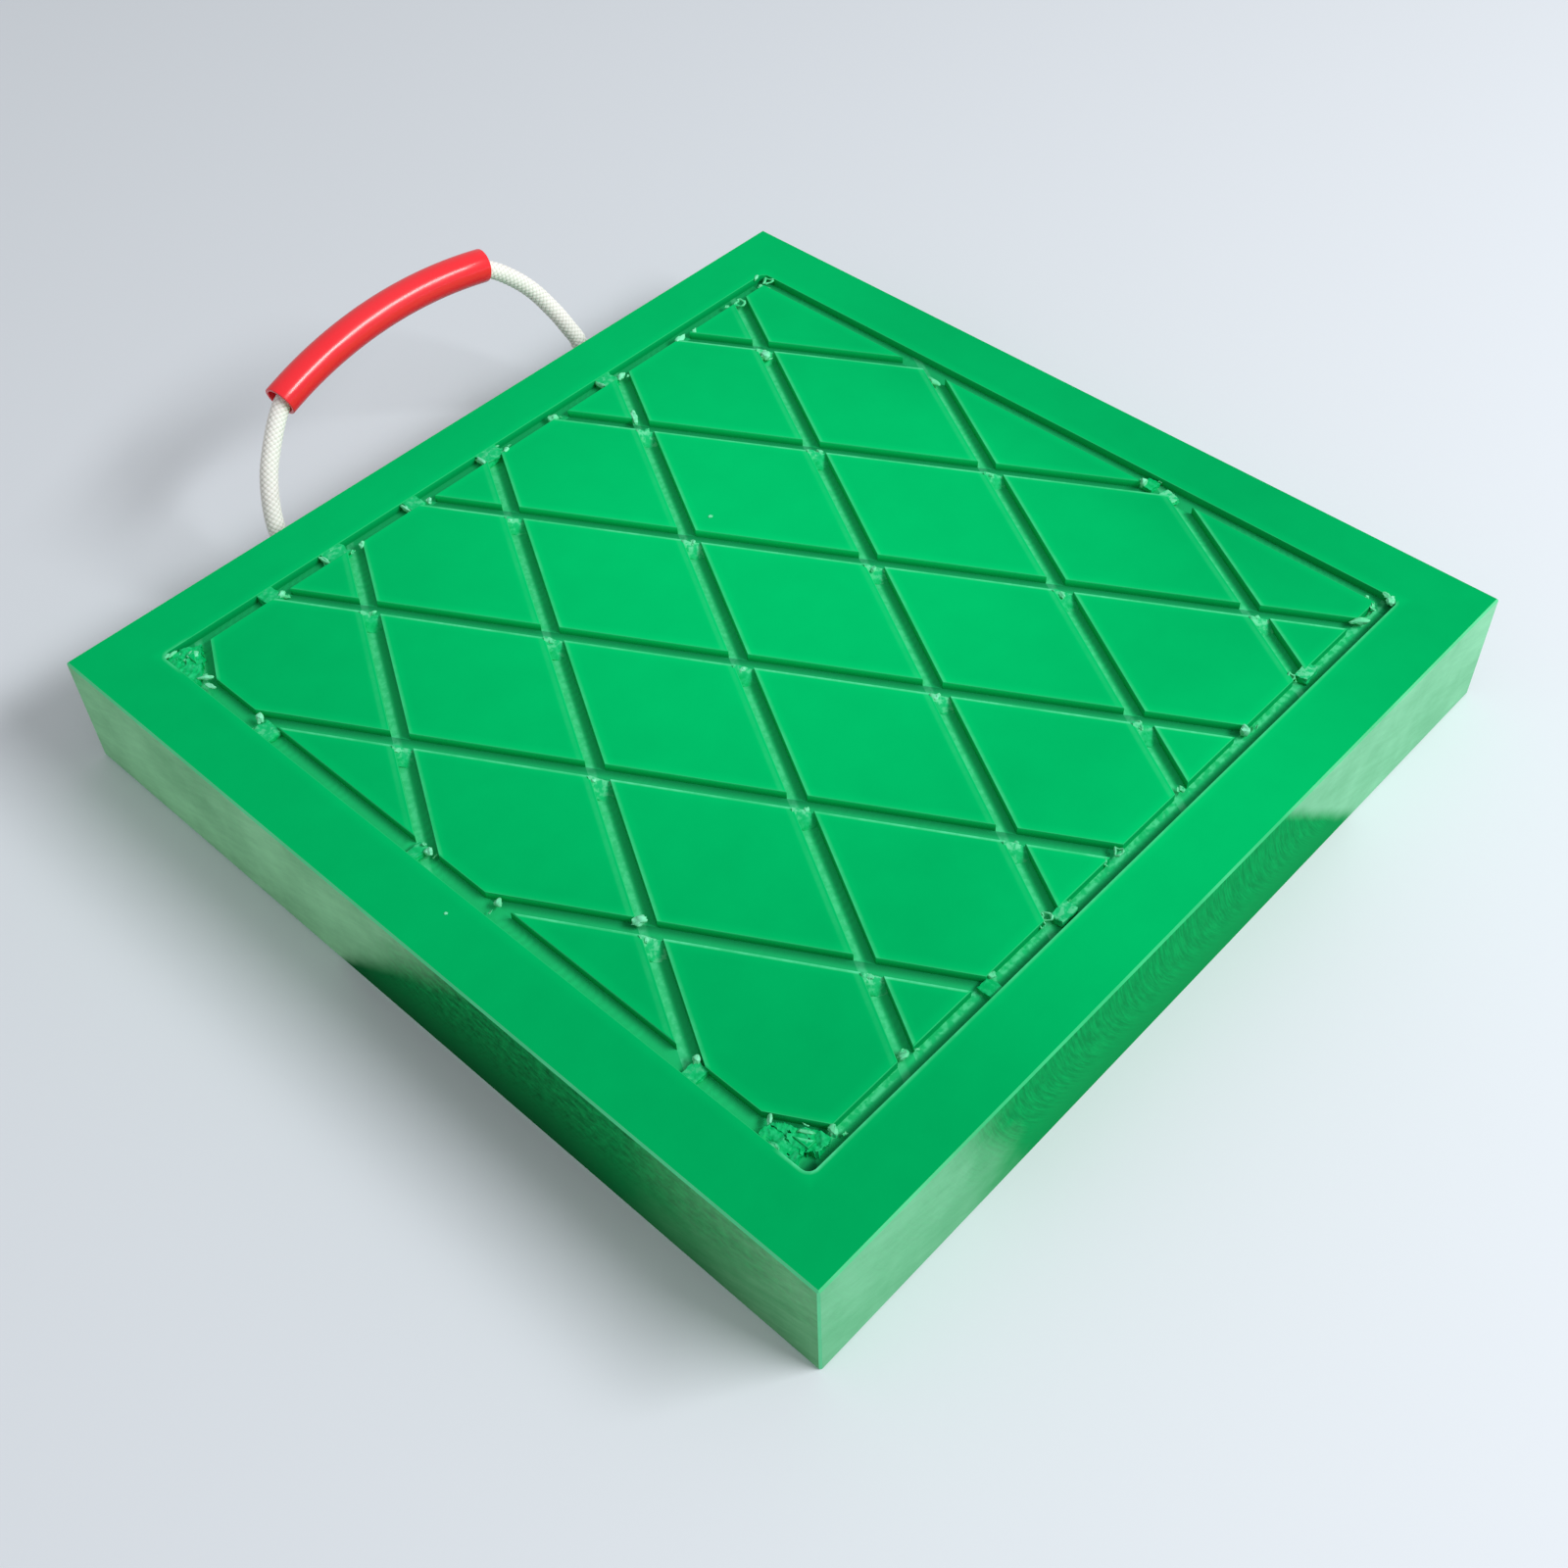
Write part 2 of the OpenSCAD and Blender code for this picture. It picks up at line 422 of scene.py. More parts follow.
def frames_along(line):
    """Two directions square to the line at each point, which don't twist along it."""
    heads = np.gradient(line, axis=0)
    heads /= np.linalg.norm(heads, axis=1)[:, None]
    side = np.cross(heads[0], (0, 0, 1) if abs(heads[0][2]) < 0.9 else (1, 0, 0))
    sides = []
    for head in heads:
        side = side - head * side.dot(head)
        side /= np.linalg.norm(side)
        sides.append(side)
    sides = np.array(sides)
    return sides, np.cross(heads, sides)


def braided_tube(name, line, run, rope, radius, sides=72):
    """A rope of plaited strands along a line: each strand shows as a row of raised grains."""
    first, second = frames_along(line)
    angle = np.arange(sides) * 2 * np.pi / sides
    turn = angle[None, :] / (2 * np.pi) * rope.strands
    travel = run[:, None] * rope.strands / rope.lead
    u = turn + travel
    v = turn - travel
    over = (np.floor(u) + np.floor(v)) % 2 < 1
    across = np.where(over, u - np.floor(u), v - np.floor(v)) * 2 - 1
    along = np.where(over, v - np.floor(v), u - np.floor(u)) * 2 - 1
    crown = np.sqrt(np.clip(1 - across**2, 0, 1)) * (1 - 0.85 * along**4)
    reach = radius - rope.relief * (1 - crown)
    rings = line[:, None, :] + reach[:, :, None] * (
        first[:, None, :] * np.cos(angle)[None, :, None] + second[:, None, :] * np.sin(angle)[None, :, None])
    count = len(line)
    here = np.arange(count - 1)[:, None] * sides
    near = np.arange(sides)[None, :]
    far = (near + 1) % sides
    quads = np.stack([here + near, here + far, here + sides + far, here + sides + near], axis=2).reshape(-1, 4)
    ends = [list(range(sides))[::-1], list(range((count - 1) * sides, count * sides))]
    mesh = bpy.data.meshes.new(name)
    mesh.from_pydata(rings.reshape(-1, 3).tolist(), [], quads.tolist() + ends)
    mesh.shade_smooth()
    shade = mesh.attributes.new("braid", "FLOAT", "POINT")
    shade.data.foreach_set("value", crown.reshape(-1).astype(np.float32))
    return link(bpy.data.objects.new(name, mesh))


# The rope's route in millimetres: each end from its bore, and the loop in its own plane
LEFT_BEND = [(0, -40, 0), (0, -20, 0), (0, 2, 0), (0.5, 10, 1), (2, 17.5, 4.5), (4, 23.5, 9.5), (5.5, 27.5, 14.5)]
RIGHT_BEND = [(1.5, 27.5, 14), (1.5, 23.5, 9.5), (1, 17.5, 4.5), (0.5, 10, 1), (0, 2, 0), (0, -20, 0), (0, -40, 0)]
LOOP = [(-134, -74), (-130, -63.5), (-125, -53.5), (-119, -44), (-111.5, -35), (-103.5, -26.5), (-95.5, -19),
        (-88, -13.5), (-75, -9), (-60, -4.5), (-30, 1), (0, 2.5), (30, 1), (60, -4.5), (75, -9), (88, -13.5),
        (96, -19.5), (104.5, -28.5), (112, -38.5), (118, -49), (122.5, -60), (126.5, -71), (129.5, -82),
        (132, -92)]
LOOP_LEAN = math.radians(65)
LOOP_ROLL = math.radians(3.5)
LOOP_OUT = 65
LOOP_UP = 94


def handle_route():
    """The rope's centreline from the left bore to the right one, in metres."""
    bore_x = BORE_X * 1000
    points = [(x - bore_x, y, z) for x, y, z in LEFT_BEND]
    for x, y in LOOP:
        across = x * math.cos(LOOP_ROLL) - y * math.sin(LOOP_ROLL)
        rise = x * math.sin(LOOP_ROLL) + y * math.cos(LOOP_ROLL)
        points.append((across, LOOP_OUT + rise * math.cos(LOOP_LEAN), LOOP_UP + rise * math.sin(LOOP_LEAN)))
    points += [(x + bore_x, y, z) for x, y, z in RIGHT_BEND]
    return [(x / 1000, y / 1000 + SLAB_HALF, z / 1000 + BORE_Z) for x, y, z in points]


def rope_material(rope):
    """Ivory braid with darker hollows."""
    if "braided_rope" in bpy.data.materials:
        return bpy.data.materials["braided_rope"]
    material, tree, shader = new_material("braided_rope")
    place = tree.nodes.new("ShaderNodeTexCoord").outputs["Object"]
    crown = attribute(tree, "braid").rise(0.05, 0.8)
    fibre = noise(tree, Field(tree, place), 2600.0, 2.0)
    soil = noise(tree, Field(tree, place), 45.0, 3.0).rise(0.35, 0.75)
    body = blend(tree, crown, rope.dark, rope.light)
    plug(tree, shaded(tree, body, 1.04 - soil * 0.1 - fibre * 0.06), shader.inputs["Base Color"])
    shader.inputs["Roughness"].default_value = 0.75
    shader.inputs["Specular IOR Level"].default_value = 0.3
    bump(tree, shader, fibre, 0.00015)
    return material


# The pieces

class PAD_OT_stage(bpy.types.Operator):
    """Sets the camera, the light and the floor"""

    bl_idname = "pad.stage"
    bl_label = "Stage"

    def execute(self, context):
        studio = context.scene.outrigger_pad.studio
        bpy.ops.object.select_all(action="DESELECT")
        place = Vector(studio.place)
        look = (Vector(studio.aim) - place).to_track_quat("-Z", "Y").to_matrix()
        view = look @ Matrix.Rotation(studio.roll, 3, "Z")
        bpy.ops.object.camera_add(location=place, rotation=view.to_euler())
        camera = context.object
        camera.data.lens = studio.lens
        camera.data.sensor_width = SENSOR_WIDTH
        camera.data.dof.use_dof = False
        context.scene.camera = camera

        bpy.ops.mesh.primitive_plane_add(size=studio.floor_side)
        floor = context.object
        floor.name = "floor"
        material, _, shader = new_material("floor")
        shader.inputs["Base Color"].default_value = (*studio.floor, 1)
        shader.inputs["Roughness"].default_value = 0.9
        shader.inputs["Specular IOR Level"].default_value = 0.1
        floor.data.materials.append(material)

        toward = Vector(studio.key_way).normalized()
        bpy.ops.object.light_add(type="AREA", location=toward * studio.key_away,
                                 rotation=toward.to_track_quat("Z", "Y").to_euler())
        light = context.object.data
        light.shape = "RECTANGLE"
        light.size = studio.key_width
        light.size_y = studio.key_height
        light.energy = studio.key

        world = bpy.data.worlds.new("sky")
        world.use_nodes = True
        backdrop = world.node_tree.nodes["Background"]
        backdrop.inputs["Color"].default_value = (1, 1, 1, 1)
        backdrop.inputs["Strength"].default_value = studio.sky
        context.scene.world = world
        context.scene.view_settings.view_transform = "Standard"
        return {"FINISHED"}


# A stopper knot in metres: the rope's end along Y, and the coil round it
TAIL_Y = (0.2598, 0.25, 0.24, 0.23, 0.222, 0.2165)
COIL_TURNS = 2.9
COIL_RADIUS = 0.011
COIL_Y = 0.2543
COIL_LENGTH = 0.0228
COIL_STEPS = 60


def knot_coil(side):
    """Points along the coil of one knot, which starts and ends close to the rope."""
    points = []
    for step in range(COIL_STEPS + 1):
        share = step / COIL_STEPS
        angle = side * share * COIL_TURNS * 2 * math.pi
        out = COIL_RADIUS * min(1, 0.25 + share * 5, 0.25 + (1 - share) * 5)
        y = COIL_Y - COIL_LENGTH * min(1, max(0, (share - 0.08) / 0.84))
        points.append((side * BORE_X + out * math.cos(angle), y, BORE_Z + out * math.sin(angle)))
    return points


class PAD_OT_knots(bpy.types.Operator):
    """Ties the stopper knot at each end of the rope"""

    bl_idname = "pad.knots"
    bl_label = "Stopper knots"

    def execute(self, context):
        rope = context.scene.outrigger_pad.rope
        tight = rope.diameter * 0.455
        pieces = []
        for side in (-1, 1):
            tail = [(side * BORE_X, y, BORE_Z) for y in TAIL_Y]
            for points in (tail, knot_coil(side)):
                line, run = smooth_line(points, RING_STEP)
                pieces.append(braided_tube("knot", line, run, rope, tight))
        knots = joined(pieces, "stopper_knots")
        knots.data.materials.append(rope_material(rope))
        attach(knots, "root")
        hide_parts("rope_knots")
        return {"FINISHED"}


class PAD_OT_grip(bpy.types.Operator):
    """Makes the plastic tube that the hand holds"""

    bl_idname = "pad.grip"
    bl_label = "Tube grip"

    def execute(self, context):
        look = context.scene.outrigger_pad.grip
        grip = copy_of_node("handle_grip", "tube_grip")
        edit("EDGE")
        bpy.ops.mesh.edges_select_sharp(sharpness=math.radians(60))
        bpy.ops.mesh.bevel(offset=look.rim, segments=3, profile=0.5)
        bpy.ops.object.mode_set(mode="OBJECT")
        bpy.ops.object.shade_smooth_by_angle(angle=math.radians(40))
        material, tree, shader = new_material("red_tube")
        place = tree.nodes.new("ShaderNodeTexCoord").outputs["Object"]
        mottle = worked_plastic(tree, place)[0]
        plug(tree, blend(tree, mottle * 0.25, look.red, look.worn), shader.inputs["Base Color"])
        plug(tree, 0.21 + mottle * 0.05, shader.inputs["Roughness"])
        shader.inputs["Coat Weight"].default_value = 0.12
        shader.inputs["Coat Roughness"].default_value = 0.12
        grip.data.materials.append(material)
        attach(grip, "root")
        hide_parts("handle_grip")
        return {"FINISHED"}


class PAD_OT_rope(bpy.types.Operator):
    """Plaits the rope along its route through the tube"""

    bl_idname = "pad.rope"
    bl_label = "Rope"

    def execute(self, context):
        rope = context.scene.outrigger_pad.rope
        line, run = smooth_line(handle_route(), RING_STEP)
        piece = braided_tube("braided_rope", line, run, rope, rope.diameter / 2)
        piece.data.materials.append(rope_material(rope))
        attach(piece, "root")
        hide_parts("handle_rope")
        return {"FINISHED"}


class SlabSurface:
    """The fields that the slab's finish is mixed from: place, direction and kind of face."""

    def __init__(self, tree, pattern):
        place = tree.nodes.new("ShaderNodeTexCoord").outputs["Object"]
        facing = tree.nodes.new("ShaderNodeNewGeometry").outputs["Normal"]
        self.tree = tree
        self.vector = Field(tree, place)
        self.x, self.y, self.z = parts_of(tree, place)
        self.nx, self.ny, self.nz = parts_of(tree, facing)
        self.mottle, self.grain = worked_plastic(tree, place)
        self.beads = self.cloudy(230.0, 2.0).rise(0.4, 0.62)
        self.cloud = self.cloudy(15.0, 5.0, 0.6).rise(0.3, 0.7)

        # Place in the pattern, which lies a little off the slab's middle
        self.px = self.x - pattern.shift_x
        self.py = self.y - pattern.shift_y
        self.half = pattern.border_side / 2

        # Kinds of face: groove floor, top between the grooves, side face, groove wall
        bed = SLAB_TOP - pattern.depth
        self.up = self.nz.rise(0.5, 0.9)
        self.floor = self.up * self.z.fall(bed + 0.0007, bed + 0.0017)
        self.land = self.up * self.z.rise(SLAB_TOP - 0.0025, SLAB_TOP - 0.0015)
        self.out = self.x.size().math("MAXIMUM", self.y.size())
        self.outer = self.out.rise(SLAB_HALF - 0.015, SLAB_HALF - 0.01) * self.nz.size().fall(0.5, 0.9)
        self.wall = (1 - self.outer) * self.nz.size().fall(0.1, 0.4)

    def cloudy(self, scale, detail=3.0, roughness=0.55):
        """A cloudy field over the slab."""
        return noise(self.tree, self.vector, scale, detail, roughness)


# The two sets of lattice grooves: the way they lean, where the lip nearer -X is pale (start, full, fading, end),
# how pale that lip and the other one are, and how strong the cutter's marks are; the pale lips are whitened plastic,
# partly a painted highlight
LATTICE_SETS = (
    (1, (-0.0098, -0.008, -0.0072, -0.0056), 0.15, 0.4, 1.0),
    (-1, (-0.0072, -0.006, -0.005, -0.0045), 1.0, 0.05, 0.3),
)
OTHER_LIP = (0.0045, 0.005, 0.0056, 0.0078)
GLOW_END = 0.0125


def groove_finish(at, pattern):
    """What the cutter left: marks on the floors and torn lips, the lips' paleness partly a painted highlight; and
    painted light: a pale painted sheen on some floors, painted shadow at the foot of some walls, and a painted glow
    beside the grooves.
    """
    reach = pattern.cutter / 2
    cos = math.cos(pattern.angle)
    sin = math.sin(pattern.angle)
    px = at.px
    py = at.py
    wobble = at.cloudy(90.0, 2.0) * 5.0
    strength = at.cloudy(30.0, 2.0).rise(0.4, 0.7)

    def marks(across, along):
        bow = (reach**2 - across * across).math("MAXIMUM", 0.0).math("SQRT")
        return ((along + bow) * (2 * math.pi / pattern.feed) + wobble).sine() * 0.5 + 0.5

    # The border: its marks, a beaded painted sheen on its floor along -Y, a painted glow beside it, the torn rim of
    # the corners towards -X, and a pale outer lip along -Y that is partly a painted highlight
    on_x = (px.size() - py.size()).rise(-0.0001, 0.0001)
    across = px.size().math("MAXIMUM", py.size()) - at.half
    within = across.fall(-0.0062, -0.0055)
    ripple = marks(across, on_x * py + (1 - on_x) * px)
    painted_glow = across.size().fall(reach, GLOW_END)
    painted_sheen = (py + at.half).band(0.0002, 0.0022, 0.0058, 0.0062) * (px + at.half).rise(0.004, 0.014) * at.beads * 0.6
    past = diagonal((px.size() - at.half).math("MAXIMUM", 0.0), (py.size() - at.half).math("MAXIMUM", 0.0))
    near_corner = (px + py).fall(-0.506, -0.496)
    left_corner = (px - py).fall(-0.506, -0.496)
    front_lip = (py + at.half).fall(-0.005, -0.0046)
    torn = past.band(0.0042, 0.0048, 0.0054, 0.0075) * (near_corner + left_corner * 0.7 + front_lip * 0.6)

    # The lattice, the second set over the first
    sets = {}
    for way, lip, share, other_share, depth in LATTICE_SETS:
        across = (px - pattern.start_x) * sin - py * (way * cos)
        across = across - (across / pattern.pitch).math("ROUND") * pattern.pitch
        inside = across.size().fall(reach * 0.98, reach * 1.02)
        ripple = inside * marks(across, px * cos + py * (way * sin)) * depth + (1 - inside) * ripple
        torn = (across.band(*lip) * share + across.band(*OTHER_LIP) * other_share) * within + torn
        painted_glow = across.size().fall(reach, GLOW_END) * within + painted_glow
        sets[way] = (across, inside)
    # A pale painted sheen on the floors of the first set
    across, inside = sets[1]
    painted_sheen = inside * across.fall(-0.0018, 0.0004) * (0.3 + at.beads * 0.3) + (1 - inside) * painted_sheen
    # Painted shadow on the floors of the second set, deepest next to the foot of one wall
    across, inside = sets[-1]
    painted_foot_shadow = inside * within * (0.06 + across.rise(-0.0008, 0.003) * 0.32)
    torn = torn * (0.5 + at.cloudy(24.0, 2.0).rise(0.36, 0.6) * 0.5) * (0.75 + at.beads * 0.25)
    return ripple * strength, painted_sheen, painted_foot_shadow, torn, painted_glow


def groove_light(at, painted_foot_shadow):
    """Painted light and shade in the grooves: how much lighter or darker their walls and floors are painted than
    their own colour.
    """
    low = at.z.fall(SLAB_TOP - 0.005, SLAB_TOP - 0.0003)
    back = at.py - at.half
    # Painted shade on walls and floors where shade falls in the grooves, and painted light on the upper part of the
    # walls facing -X and -Y
    far_wall_shade = at.wall * at.nx.fall(-0.9, -0.2) * low * 0.14
    back_wall_shade = at.wall * at.ny.fall(-0.95, -0.8) * 0.16
    lit_wall = at.wall * at.nx.fall(-0.8, -0.6) * at.ny.fall(-0.4, -0.3) * (1 - low) * 0.5
    back_dip_shade = back.rise(-0.0062, -0.0058) * (at.wall * low + at.floor * back.rise(-0.003, 0.004)) * 0.24
    front_gutter_shadow = (at.py + at.half).band(-0.0064, -0.0058, -0.0002, 0.0026) * 0.3
    far_floor_shadow = (at.px - at.half).rise(-0.0064, -0.0058) * 0.2
    corner_pit_shade = diagonal(at.px + at.half, at.py + at.half).fall(0.003, 0.0058) * 0.4
    return 1 - far_wall_shade - back_wall_shade - at.floor * (painted_foot_shadow + front_gutter_shadow + far_floor_shadow + corner_pit_shade) - back_dip_shade + lit_wall


def top_colour(at, slab, painted_glow):
    """Planed top with painted light: brightest a little off its middle and lighter towards the back and +X, with a
    painted sheen at the front, painted shade at +X, soft patches, and a painted glow along the grooves.
    """
    # Painted light: a falloff from near the middle, a slope lighter towards the back and +X, a painted sheen at the
    # front and painted shade at +X; the patches and mottle are the plastic's own
    painted_falloff = diagonal(at.px - 0.02, at.py - 0.03).rise(0.05, 0.36)
    front_sheen = at.py.fall(-0.262, -0.17) * (at.x - 0.03).size().fall(0.06, 0.24) * 0.16
    right_shade = at.px.rise(0.2, 0.26) * at.py.size().fall(0.12, 0.24) * 0.1
    patches = (at.cloudy(38.0) - 0.5) * 0.1
    sheen_shade_and_patches = front_sheen - right_shade + patches
    slant = at.x * 0.1 + at.y * 0.29
    light = 1.07 - painted_falloff * 0.22 + slant + at.mottle * 0.04 + at.up * (painted_glow * 0.09 + sheen_shade_and_patches)
    return shaded(at.tree, slab.green, light)


# The planer's arcs on the side faces: their radius and the height of their middle, in metres
PLANER_RADIUS = 0.13
PLANER_HEIGHT = 0.11


def side_finish(at, slab):
    """Side faces: fresh plastic with a planer's streaks and painted shade, under pale bands that are painted
    reflections with scuffs in them. Gives colour and streaks.
    """
    tree = at.tree
    x = at.x
    y = at.y
    z = at.z
    left = at.nx.fall(-0.8, -0.5)
    front = at.ny.fall(-0.8, -0.5)
    along = at.nx.size().rise(0.5, 0.6) * y + at.ny.size().rise(0.5, 0.6) * x
    bow = (PLANER_RADIUS**2 - (z - PLANER_HEIGHT) * (z - PLANER_HEIGHT)).math("SQRT")
    streak = noise(tree, vector_of(tree, along + bow, z * 0.08, 0.0), 520.0, 3.0, 0.75).rise(0.32, 0.68) * 2 - 1
    scuff = noise(tree, vector_of(tree, along * 0.5 + z * 1.4, along * 0.2, 0.0), 110.0, 5.0, 0.7).rise(0.2, 0.8)
    nicks = noise(tree, vector_of(tree, along * 0.6, z, 0.0), 240.0, 3.0, 0.7) - 0.5
    nicks = nicks * left * z.rise(0.015, 0.07) * 3.4

    # Pale bands of painted reflection: two on the -X face, two on the -Y face; clouds of pale scuffs on the others
    drift = (at.cloudy(22.0, 4.0) - 0.5) * 0.05
    left_reflection = ((y + z * 1.625 + drift * 0.4 - 0.058) / (z * 0.875 + 0.012)).rise(0.0, 1.0)
    near_reflection = (y + drift).fall(-0.30, -0.16) * (0.46 + scuff * 0.16)
    front_reflection = (x + z * 0.25 + drift).fall(-0.19, -0.14) * 0.72
    right_reflection = (x + z * 1.15 + drift * 0.3).rise(0.160, 0.176)
    rest_haze = at.cloudy(5.0).rise(0.42, 0.62) * 0.75
    scuffs_and_reflection = left * (left_reflection + near_reflection) + front * (front_reflection + right_reflection) + (1 - left - front) * rest_haze
    scuffs_and_reflection = scuffs_and_reflection * (0.74 + at.cloud * 0.2 + scuff * 0.1)
    planer = streak * z.rise(0.006, 0.045) * (1 - scuffs_and_reflection * 0.8) * at.outer * (1 - left * 0.6)

    left_shade = left * (0.43 - z * 10.0 - y.fall(-0.2, -0.1) * 0.3)
    front_shade = front * z.fall(0.0, 0.03) * 0.1
    fresh = blend(tree, left, slab.side, slab.shade)
    fresh = shaded(tree, fresh, 1.02 + planer * 0.22 + nicks - front_shade - left_shade)
    # The pale colour of the painted reflections, with scuffs in it
    pale = shaded(tree, blend(tree, left, slab.scuffs_and_reflection, slab.dull_scuffs_and_reflection), 0.9 + at.cloud * 0.12 + scuff * 0.08)
    return blend(tree, scuffs_and_reflection, fresh, pale), planer


def slab_material(slab, pattern):
    """Green polyethylene: planed top and sides, milled grooves, whitened edges; with painted light and shade, and
    painted reflections on the sides.
    """
    material, tree, shader = new_material("milled_polyethylene")
    at = SlabSurface(tree, pattern)
    ripple, painted_sheen, painted_foot_shadow, torn, painted_glow = groove_finish(at, pattern)
    milled = blend(tree, painted_sheen, shaded(tree, slab.groove, 0.95 + ripple * 0.12), slab.lips)
    body = blend(tree, at.floor, top_colour(at, slab, painted_glow), milled)
    body = shaded(tree, body, groove_light(at, painted_foot_shadow))
    side, planer = side_finish(at, slab)
    body = blend(tree, at.outer, body, side)

    # Whitened lips and edges; on the outer edges the paleness is partly a painted highlight, strongest on those
    # towards -X
    around = at.out.rise(SLAB_HALF - 0.01, SLAB_HALF - 0.005)
    edge_wear_and_highlight = 0.22 + at.nx.fall(-0.6, -0.3) * 0.4 + at.cloud * 0.2
    lip_wear = 0.08 + at.grain * 0.15
    worn = attribute(tree, "lip") * (around * edge_wear_and_highlight + (1 - around) * lip_wear)
    rim = blend(tree, at.out.rise(SLAB_HALF - 0.02, SLAB_HALF - 0.01), slab.lips, slab.edge)
    body = blend(tree, worn + torn * at.land * 0.85, body, rim)

    plug(tree, body, shader.inputs["Base Color"])
    plug(tree, 0.4 + at.mottle * 0.06 + at.outer * 0.08 + at.floor * 0.06, shader.inputs["Roughness"])
    shader.inputs["Specular IOR Level"].default_value = 0.006
    height = at.grain * 0.12 + at.floor * ripple * 0.35 + at.outer * planer * 0.1 + at.land * at.grain * 0.1
    bump(tree, shader, height, 0.0002)
    return material


class PAD_OT_slab(bpy.types.Operator):
    """Refines the slab: soft lips along the grooves, whitened edges and its milled finish, with painted light and
    shade
    """

    bl_idname = "pad.slab"
    bl_label = "Milled slab"

    def execute(self, context):
        settings = context.scene.outrigger_pad
        slab = copy_of_node("pad", "milled_slab")
        edit("EDGE")
        mesh = bmesh.from_edit_mesh(slab.data)
        mesh.normal_update()
        for edge in mesh.edges:
            slopes = sorted(abs(face.normal.z) for face in edge.link_faces)
            high = min(vert.co.z for vert in edge.verts) > SLAB_TOP - 0.0001
            edge.select_set(high and slopes[0] < 0.1 and slopes[-1] > 0.99)
        bmesh.update_edit_mesh(slab.data)
        bpy.ops.mesh.bevel(offset=settings.slab.lip, segments=2, profile=0.5)
        mesh = bmesh.from_edit_mesh(slab.data)
        mesh.normal_update()
        layer = mesh.faces.layers.float.new("lip")
        for face in mesh.faces:
            middle = face.calc_center_median()
            slant = sorted(abs(part) for part in face.normal)[1]
            outer = max(abs(middle.x), abs(middle.y)) > SLAB_HALF - 0.002 and slant > 0.3
            inner = middle.z > SLAB_TOP - 0.0006 and abs(face.normal.z) < 0.98
            face[layer] = 1.0 if outer or inner else 0.0
        bmesh.update_edit_mesh(slab.data)
        bpy.ops.object.mode_set(mode="OBJECT")
        bpy.ops.object.shade_smooth_by_angle(angle=math.radians(28))
        modify(slab, "WEIGHTED_NORMAL", keep_sharp=True)
        slab.data.materials.append(slab_material(settings.slab, settings.pattern))
        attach(slab, "root")
        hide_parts("pad")
        return {"FINISHED"}


def tear_up(bit, tears):
    """Roughens a bit of plastic: each pair is the size of the tears and how far they reach."""
    for scale, strength in tears:
        texture = bpy.data.textures.new("tear", "CLOUDS")
        texture.cloud_type = "COLOR"
        texture.noise_scale = scale
        modify(bit, "DISPLACE", texture=texture, texture_coords="GLOBAL", direction="RGB_TO_XYZ", strength=strength)


def torn_shape(kind, number):
    """A bit of torn plastic to copy, 10 mm across: a lump, a plug, a thin flake or a curl."""
    spot = (0.04 * number, 2, 0)
    if kind == "lump":
        bpy.ops.mesh.primitive_ico_sphere_add(subdivisions=3, radius=0.005, location=spot)
        tears = ((0.0048, 0.006), (0.0015, 0.0006))
    elif kind == "plug":
        bpy.ops.mesh.primitive_cube_add(size=0.01, location=spot)
        tears = ((0.004, 0.0022), (0.0014, 0.0005))
    elif kind == "flake":
        bpy.ops.mesh.primitive_grid_add(x_subdivisions=12, y_subdivisions=9, size=0.01, location=spot)
        tears = ((0.0055, 0.007), (0.0017, 0.0011))
    else:
        bpy.ops.mesh.primitive_torus_add(major_radius=0.0038, minor_radius=0.0011, major_segments=22,
                                         minor_segments=8, location=spot)
        tears = ((0.0055, 0.006), (0.0017, 0.0008))
    bit = bpy.context.object
    if kind == "plug":
        bpy.ops.object.mode_set(mode="EDIT")
        bpy.ops.mesh.subdivide(number_cuts=8)
        bpy.ops.object.mode_set(mode="OBJECT")
    tear_up(bit, tears)
    if kind == "flake":
        modify(bit, "SOLIDIFY", thickness=0.0009, offset=0)
    mesh = bit.data
    bpy.data.objects.remove(bit)
    return mesh


def whiten(mesh, whiteness):
    """Marks a torn mesh with its share of whitening."""
    layer = mesh.attributes.new("tear", "FLOAT", "POINT")
    layer.data.foreach_set("value", [whiteness] * len(mesh.vertices))


def torn_copy(shape, place, turn, size, tilt, whiteness, skew):
    """A copy of a torn shape at a place in millimetres, stretched to a size, tilted about X and turned."""
    mesh = shape.copy()
    stretch = Matrix.Diagonal((*[part / 10 for part in size], 1))
    shear = Matrix.Identity(4)
    shear[1][0] = skew
    mesh.transform(Matrix.Translation(Vector(place) / 1000) @ Matrix.Rotation(turn, 4, "Z")
                   @ Matrix.Rotation(tilt, 4, "X") @ shear @ stretch)
    whiten(mesh, whiteness)
    bit = bpy.data.objects.new("bit", mesh)
    bpy.context.scene.collection.objects.link(bit)
    return bit


def inside_outline(x, y, outline):
    """Whether a point lies inside an outline."""
    odd = False
    for (ax, ay), (bx, by) in zip(outline, outline[1:] + outline[:1]):
        if (ay > y) != (by > y) and x < ax + (y - ay) / (by - ay) * (bx - ax):
            odd = not odd
    return odd


# The sheet that a filled corner is cut from: its side in metres and the cells along it
CORNER_SIDE = 0.042
CORNER_CELLS = 84


